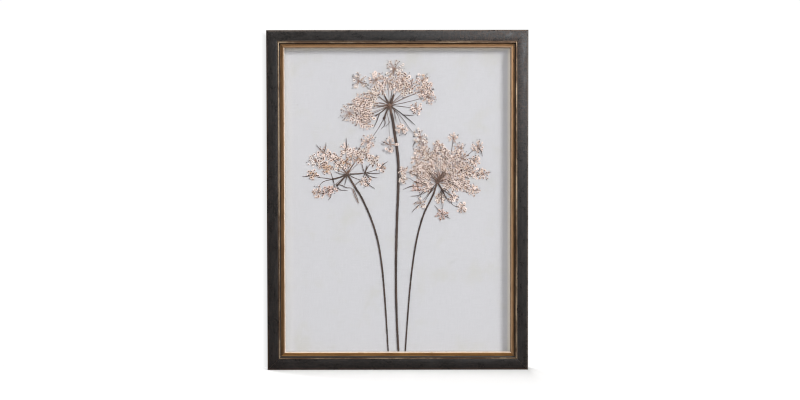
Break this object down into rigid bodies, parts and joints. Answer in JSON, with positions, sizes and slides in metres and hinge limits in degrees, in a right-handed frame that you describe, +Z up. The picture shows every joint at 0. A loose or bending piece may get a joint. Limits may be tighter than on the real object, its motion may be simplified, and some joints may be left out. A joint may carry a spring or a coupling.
{
  "type": "pressed flower frame",
  "caption": "Slim upright picture frame with dried umbel flowers pressed flat on linen-textured paper under glass, with a sawtooth hanger and bumper pads behind.",
  "frame": {"origin": "bottom centre of the whole object's box: under the bottom rail, midway across the width and the depth", "axes": "+X to the viewer's right, +Y from the front towards the wall, +Z up the frame"},
  "size_m": [0.253, 0.0234, 0.3293],
  "materials": {
    "dark_moulding": "dark brown stain and satin lacquer, rubbed brown on the outer edge, with a pale metallic bead and a gilt sight lip",
    "clear_glass": "clear float glass",
    "white_spacer": "matt white strip",
    "linen_paper": "pale cool grey paper with a fine linen texture on board",
    "hardboard": "brown pressed hardboard, smooth and slightly mottled",
    "zinc_steel": "zinc-plated sheet steel, dull",
    "felt_pad": "dark brown felt",
    "dried_stem": "dried plant stem, dark purple-brown, ridged, matt",
    "dried_floret": "dried florets, pinkish beige with small brown hearts on dark brown rays, matt"
  },
  "bodies": {
    "root": {"rail_top": "dark_moulding", "rail_bottom": "dark_moulding", "rail_left": "dark_moulding", "rail_right": "dark_moulding", "glass_pane": "clear_glass", "spacer_top": "white_spacer", "spacer_bottom": "white_spacer", "spacer_left": "white_spacer", "spacer_right": "white_spacer", "mount_board": "linen_paper", "back_board": "hardboard", "point_top_1": "zinc_steel", "point_top_2": "zinc_steel", "point_bottom_1": "zinc_steel", "point_bottom_2": "zinc_steel", "point_left_1": "zinc_steel", "point_left_2": "zinc_steel", "point_right_1": "zinc_steel", "point_right_2": "zinc_steel", "sawtooth_hanger": "zinc_steel", "hanger_pin_left": "zinc_steel", "hanger_pin_right": "zinc_steel", "bumper_left": "felt_pad", "bumper_right": "felt_pad", "stem_left": "dried_stem", "stem_middle": "dried_stem", "stem_right": "dried_stem", "umbel_left": "dried_floret", "umbel_middle": "dried_floret", "umbel_right": "dried_floret"}
  },
  "joints": []
}
